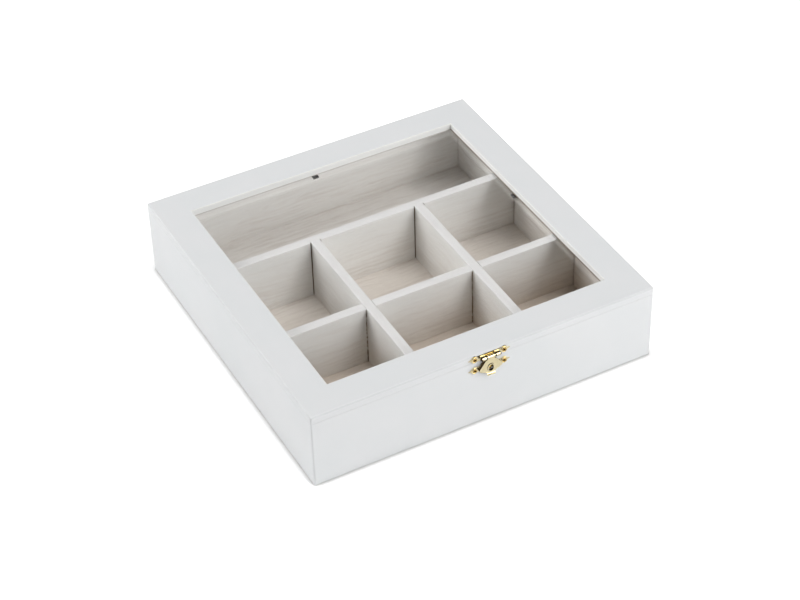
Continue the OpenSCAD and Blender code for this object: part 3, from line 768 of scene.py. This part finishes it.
def add_screw(mesh, axis_x, axis_z, base_y, radius, shank_end_y):
    """One screw whose head faces the front, in metres but for the radius in millimetres."""
    rings = []
    for ring in range(1, HEAD_RINGS + 1):
        r = radius * ring / HEAD_RINGS
        rings.append([])
        for spoke in range(HEAD_SPOKES):
            angle = math.tau * spoke / HEAD_SPOKES
            x, z = r * math.cos(angle), r * math.sin(angle)
            y = base_y - head_height(x, z, radius) * MM
            rings[-1].append(mesh.verts.new((axis_x + x * MM, y, axis_z + z * MM)))
    middle = mesh.verts.new((axis_x, base_y - head_height(0, 0, radius) * MM, axis_z))
    for spoke in range(HEAD_SPOKES):
        after = (spoke + 1) % HEAD_SPOKES
        faces = [mesh.faces.new((middle, rings[0][spoke], rings[0][after]))]
        for inner, outer in zip(rings, rings[1:]):
            faces.append(mesh.faces.new((inner[spoke], outer[spoke], outer[after], inner[after])))
        for face in faces:
            x, _, z = (face.calc_center_median() - Vector((axis_x, 0, axis_z))) / MM
            face.material_index = int(recess_depth(x, z) > RECESS_DARK_MM)
    mesh.faces.new(list(reversed(rings[-1])))
    length = shank_end_y - base_y
    shank_r = radius * MM / 2
    middle_of_shank = Matrix.Translation((axis_x, base_y + length / 2, axis_z))
    bmesh.ops.create_cone(mesh, cap_ends=True, segments=SHANK_SIDES, radius1=shank_r,
                          radius2=shank_r, depth=length,
                          matrix=middle_of_shank @ Matrix.Rotation(math.radians(90), 4, "X"))


def new_piece(name, mesh):
    """A new object in the scene with this mesh, its faces turned outwards."""
    bmesh.ops.recalc_face_normals(mesh, faces=mesh.faces)
    piece = bpy.data.objects.new(name, bpy.data.meshes.new(name))
    mesh.to_mesh(piece.data)
    mesh.free()
    bpy.context.scene.collection.objects.link(piece)
    return piece


print("the face of a head has", HEAD_RINGS * HEAD_SPOKES + 1, "points")

# %% [markdown]
# ## Four screws in place
# The construction model has plain screws in the same holes. Their boxes give the head's radius
# and the places of a plate's two screws, so the new ones sit exactly there and stand for them.

# %% Latch screws
def latch_screws(node, body):
    """Both screws of one latch plate, in place of the construction model's plain ones."""
    low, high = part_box(node)
    radius = (high.z - low.z) / 2
    base_y = low.y + SCREW_RISE_MM * MM
    mesh = bmesh.new()
    for axis_x in (low.x + radius, high.x - radius):
        add_screw(mesh, axis_x, (low.z + high.z) / 2, base_y, radius / MM, high.y)
    piece = new_piece("recessed_" + node, mesh)
    piece.data.materials.append(screw_brass)
    piece.data.materials.append(recess)
    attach(piece, body)
    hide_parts(node)
    print(piece.name, len(piece.data.polygons), "faces")


latch_screws("latch_plate_screws", "lid")
latch_screws("catch_plate_screws", "box")

# %% [markdown]
# ## The outline of the hasp
# The hasp is a shield on a narrow neck. Its outline is the tight hull round the neck's corners,
# two round shoulders and the tail. The hull is cut open at the neck, turned so that it runs from
# the neck's left corner round the tail to the right one, and divided into equal steps.

# %% The outline of the hasp
NECK_HALF_MM, NECK_DROP_MM = 3.1, 2.1
SHOULDER_X_MM, SHOULDER_DROP_MM, SHOULDER_R_MM = 6.5, 8.6, 1.5
TAIL_HALF_MM, TAIL_DROP_MM = 2.8, 12.0
SHOULDER_POINTS = 48
BEND_STEPS = 100
# Picks the left one of two corners at the same height.
LEFT_FIRST = 0.01
ROUNDING = 1e-9


def shield_hull(inset):
    """The shield's corners from neck to neck, moved in by inset, in millimetres."""
    corners = [(-NECK_HALF_MM, -NECK_DROP_MM), (NECK_HALF_MM, -NECK_DROP_MM),
               (-TAIL_HALF_MM, -TAIL_DROP_MM), (TAIL_HALF_MM, -TAIL_DROP_MM)]
    corners = [(x - math.copysign(inset, x), z + inset * (z < -TAIL_DROP_MM / 2))
               for x, z in corners]
    for k in range(SHOULDER_POINTS):
        angle = math.tau * k / SHOULDER_POINTS
        for side in (-1, 1):
            corners.append((side * SHOULDER_X_MM + (SHOULDER_R_MM - inset) * math.cos(angle),
                            -SHOULDER_DROP_MM + (SHOULDER_R_MM - inset) * math.sin(angle)))
    hull = [Vector(corners[i]) for i in convex_hull_2d(corners)]
    start = max(range(len(hull)), key=lambda i: hull[i].y - LEFT_FIRST * hull[i].x)
    hull = hull[start:] + hull[:start]
    if hull[1].x > hull[0].x:
        hull = [hull[0]] + hull[:0:-1]
    return hull


def bend_line(inset):
    """Evenly spaced points along the shield's outline from neck to neck, in millimetres."""
    hull = shield_hull(inset)
    lengths = [(b - a).length for a, b in zip(hull, hull[1:])]
    points = []
    for k in range(BEND_STEPS + 1):
        left = sum(lengths) * k / BEND_STEPS
        for a, b, length in zip(hull, hull[1:], lengths):
            if left <= length + ROUNDING:
                points.append(a.lerp(b, min(1.0, left / length)))
                break
            left -= length
    return points


print("the outline has", len(bend_line(0.0)), "points")

# %% [markdown]
# ## The hasp's bent edge
# The hasp is pressed from sheet, and its edge is bent back towards the box. The bend is a thin
# band that follows the shield's outline below the barrel, coloured a dull dark brown as painted
# shade for the edge that lies in the shade behind the hasp. It stops short of the box, and
# shorter still where the catch plate lies under it.

# %% The hasp's bent edge
# Painted shade: the dark brown of the bent edge.
BEND_PAINTED_SHADE = "#66502C"
BEND_THICK_MM = 0.3
BEND_INSET_MM = 0.05
HASP_BACK_MM = 2.0
CLEAR_OF_BOX_MM = 0.45
CLEAR_OF_PLATE_MM = 1.35
PLATE_FROM_MM, PLATE_TO_MM = 6.0, 11.3


def deepest(drop):
    """How far from the box's face the band stops, at this drop below the pin."""
    return CLEAR_OF_PLATE_MM if PLATE_FROM_MM < drop < PLATE_TO_MM else CLEAR_OF_BOX_MM


bend_shade_metal = metal_material("brass_edge_painted_shade", BEND_PAINTED_SHADE, metallic=0.3, roughness=0.45,
                            wear_mm=1.5)
mesh = bmesh.new()
rows = []
for outer, inner in zip(bend_line(BEND_INSET_MM), bend_line(BEND_INSET_MM + BEND_THICK_MM)):
    row = []
    for point, out_mm in ((outer, HASP_BACK_MM), (outer, deepest(-outer.y)),
                          (inner, deepest(-outer.y)), (inner, HASP_BACK_MM)):
        row.append(mesh.verts.new(((latch_x + point.x) * MM, (front_y - out_mm) * MM,
                                   (pin_z + point.y) * MM)))
    rows.append(row)
for a, b in zip(rows, rows[1:]):
    for k in range(len(a)):
        after = (k + 1) % len(a)
        mesh.faces.new((a[k], a[after], b[after], b[k]))
for row in (rows[0], rows[-1]):
    mesh.faces.new(row)
hasp_edge = new_piece("hasp_bent_edge", mesh)
hasp_edge.data.materials.append(bend_shade_metal)
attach(hasp_edge, "hasp")
print("bent edge of", len(hasp_edge.data.polygons), "faces")

# %% [markdown]
# ## Camera
# The box is seen from its front left corner, from about forty degrees up, with a long lens, so
# its edges hardly converge. The camera looks at a point near the middle of the box and leans a
# little, as a camera on a tripod often does.

# %% Camera
CAMERA_TURN = -27.47
CAMERA_UP = 39.93
CAMERA_LEAN = -1.682
CAMERA_LENS_MM = 96.78
CAMERA_FAR_MM = 1414.8
CAMERA_SIDE_MM = -3.10
CAMERA_RISE_MM = -6.40

turn, up_angle, lean = (math.radians(a) for a in (CAMERA_TURN, CAMERA_UP, CAMERA_LEAN))
back = Vector((math.sin(turn) * math.cos(up_angle), -math.cos(turn) * math.cos(up_angle),
               math.sin(up_angle)))
level_right = (-back).cross(Vector((0, 0, 1))).normalized()
level_up = level_right.cross(-back)
right = level_right * math.cos(lean) + level_up * math.sin(lean)
up = level_up * math.cos(lean) - level_right * math.sin(lean)
camera = bpy.data.objects.new("camera", bpy.data.cameras.new("camera"))
camera.data.lens = CAMERA_LENS_MM
bpy.context.scene.collection.objects.link(camera)
place = (back * CAMERA_FAR_MM - right * CAMERA_SIDE_MM - up * CAMERA_RISE_MM) * MM
camera.matrix_world = (Matrix.Translation(place)
                       @ Matrix((right, up, back)).transposed().to_4x4())
bpy.context.scene.camera = camera
print("camera at", [round(c, 3) for c in camera.location])

# %% [markdown]
# ## Table
# The table is white. To the camera and through the glass it is overexposed, so it looks plain
# white right up to the box. Within a few millimetres of the box's foot, where the board is shut
# in, the exposure fades out and the board turns greyer, a painted shadow. With the real shadow
# it leaves the thin grey line of shadow that a box has where it touches a table.

# %% Table
TABLE_METRES = 6.0
TABLE_DROP_MM = 0.05
TABLE_COLOUR = "#E8E8E8"
TABLE_GLOW = 0.40
# Painted shadow: the board's greyer colour close to the box.
PAINTED_CONTACT_SHADOW = "#DEDDDC"
CONTACT_MM = 4.5
CONTACT_RAYS = 16
SHUT_IN, OPEN_ABOVE = 0.5, 0.95
WHITE = (1, 1, 1, 1)


def level_sheet(name, size, z):
    """A square sheet of this size that lies level at height z, both in metres."""
    corners = [(x * size / 2, y * size / 2, z) for x, y in ((-1, -1), (1, -1), (1, 1), (-1, 1))]
    sheet = bpy.data.objects.new(name, bpy.data.meshes.new(name))
    sheet.data.from_pydata(corners, [], [(0, 1, 2, 3)])
    bpy.context.scene.collection.objects.link(sheet)
    return sheet


table = level_sheet("white_table", TABLE_METRES, -TABLE_DROP_MM * MM)
white_board = new_material("white_table_board")
path = add(white_board, "LightPath")
seen = add(white_board, "Math", [path.outputs["Is Camera Ray"],
                                 path.outputs["Is Transmission Ray"]], operation="MAXIMUM")
sky = add(white_board, "AmbientOcclusion", {"Distance": CONTACT_MM * MM}, samples=CONTACT_RAYS)
clear_of_box = add(white_board, "MapRange", [sky.outputs["AO"], SHUT_IN, OPEN_ABOVE])
shines = add(white_board, "Math", [seen, clear_of_box], operation="MULTIPLY")
strength = add(white_board, "Math", [shines, TABLE_GLOW], operation="MULTIPLY")
glow = add(white_board, "Emission", {"Color": WHITE, "Strength": strength})
board = add(white_board, "BsdfDiffuse", {
    "Color": coats(white_board, PAINTED_CONTACT_SHADOW, (clear_of_box, TABLE_COLOUR))})
add(white_board, "OutputMaterial", {"Surface": add(white_board, "AddShader", [board, glow])})
table.data.materials.append(white_board)
print("table of", TABLE_METRES, "m")

# %% [markdown]
# ## Room light
# Large soft windows and lamps stand round the box: low ones on the left and in front, weaker
# ones high up. Each is a bright patch in the sky that fades out smoothly, so shadows are short
# and soft. To the camera the room is plain white. The brass mirrors the bright patches and,
# between them, dim walls, which gives it its contrast. The light overhead comes off a pale
# ceiling and isn't mirrored, or the pane would glare from straight above.

# %% Room light
# Degrees round from +X, degrees up from level, and strength.
SOFTBOXES = {
    "low window on the left": (160, 25, 0.75),
    "high, behind on the left": (130, 55, 0.19),
    "low, in front on the right": (292, 30, 0.60),
    "high, in front on the right": (306, 55, 0.34),
    "overhead": (0, 90, 0.40),
}
NOT_MIRRORED = "overhead"
SOFTBOX_PEAK = 14.0
SOFTBOX_NARROW = 40
WALLS_SEEN_IN_METAL = 0.12

world = bpy.data.worlds.new("bright_room")
world.use_nodes = True
bpy.context.scene.world = world
world.node_tree.nodes.clear()


def softbox(round_degrees, up_degrees, strength):
    """Light from one direction that fades out smoothly around it."""
    turn, up = math.radians(round_degrees), math.radians(up_degrees)
    toward = Vector((math.cos(up) * math.cos(turn), math.cos(up) * math.sin(turn), math.sin(up)))
    direction = add(world, "TexCoord").outputs["Generated"]
    facing = add(world, "VectorMath", [direction, toward], operation="DOT_PRODUCT")
    facing = add(world, "Math", [facing, 0.0], operation="MAXIMUM")
    faded = add(world, "Math", [facing, SOFTBOX_NARROW], operation="POWER")
    return add(world, "Math", [faded, SOFTBOX_PEAK * strength], operation="MULTIPLY")


light = 0.0
mirrored_light = WALLS_SEEN_IN_METAL
for name, place_and_strength in SOFTBOXES.items():
    patch = softbox(*place_and_strength)
    light = add(world, "Math", [patch, light], operation="ADD")
    if name != NOT_MIRRORED:
        mirrored_light = add(world, "Math", [patch, mirrored_light], operation="ADD")
path = add(world, "LightPath")
level = add(world, "Mix", {0: path.outputs["Is Glossy Ray"], 2: light, 3: mirrored_light},
            data_type="FLOAT")
seen = add(world, "Math", [path.outputs["Is Camera Ray"], path.outputs["Is Transmission Ray"]],
           operation="MAXIMUM")
level = add(world, "Mix", {0: seen, 2: level, 3: 1.0}, data_type="FLOAT")
room = add(world, "Background", {"Color": WHITE, "Strength": level})
add(world, "OutputWorld", {"Surface": room})
bpy.context.scene.view_settings.view_transform = "Standard"
print("room light from", ", ".join(SOFTBOXES))

# %% [markdown]
# ## Lamps nearby
# Two larger lamps stand nearer by, and two small ones low down. Light from nearby falls off
# quickly, so they make the front lighter towards the right and the left side lighter towards
# the back, which far windows can't do.

# %% Lamps nearby
# Place in metres, width in metres, and power in watts.
NEAR_LAMPS = {
    "near_lamp_right": ((0.75, -0.75, 0.2), 0.5, 2.0),
    "near_lamp_left": ((-0.45, 0.9, 0.2), 0.5, 2.0),
    "low_lamp_right": ((0.35, -0.42, 0.06), 0.12, 0.18),
    "low_lamp_left": ((-0.40, 0.36, 0.06), 0.12, 0.17),
}

for name, (lamp_place, lamp_size, watts) in NEAR_LAMPS.items():
    lamp = bpy.data.objects.new(name, bpy.data.lights.new(name, "AREA"))
    lamp.data.size = lamp_size
    lamp.data.energy = watts
    lamp.location = lamp_place
    lamp.visible_camera = False
    lamp.rotation_euler = (-lamp.location).to_track_quat("-Z", "Y").to_euler()
    bpy.context.scene.collection.objects.link(lamp)
print("lamps:", ", ".join(NEAR_LAMPS))

# %% [markdown]
# ## A dark flag for the glass
# A pane mirrors whatever stands opposite the camera. In a plain white room that is a pale veil
# over the wood, so a photographer hangs a black flag there. It is a card with soft edges that
# only mirrored light meets: it keeps no light off the box, and the camera never sees it.

# %% Black flag
FLAG_COLOUR = "#0A0A0A"
FLAG_METRES = 1.3
FLAG_FAR_METRES = 1.3
FLAG_SOFT_FROM = 0.62

mirrored = Vector((-back.x, -back.y, back.z))
flag = level_sheet("black_flag", FLAG_METRES, 0)
flag.matrix_world = (Matrix.Translation(mirrored * FLAG_FAR_METRES)
                     @ mirrored.to_track_quat("Z", "Y").to_matrix().to_4x4())
flag.visible_camera = False
flag.visible_diffuse = False
flag.visible_shadow = False
black_cloth = new_material("black_flag_cloth")
on_card = add(black_cloth, "TexCoord").outputs["Object"]
from_middle = add(black_cloth, "VectorMath", [on_card], operation="LENGTH")
fade = add(black_cloth, "MapRange", [from_middle, FLAG_SOFT_FROM * FLAG_METRES / 2,
                                     FLAG_METRES / 2])
cloth = add(black_cloth, "BsdfDiffuse", {"Color": FLAG_COLOUR})
nothing = add(black_cloth, "BsdfTransparent")
add(black_cloth, "OutputMaterial",
    {"Surface": add(black_cloth, "MixShader", [fade, cloth, nothing])})
flag.data.materials.append(black_cloth)
print("flag at", [round(c, 2) for c in flag.location])
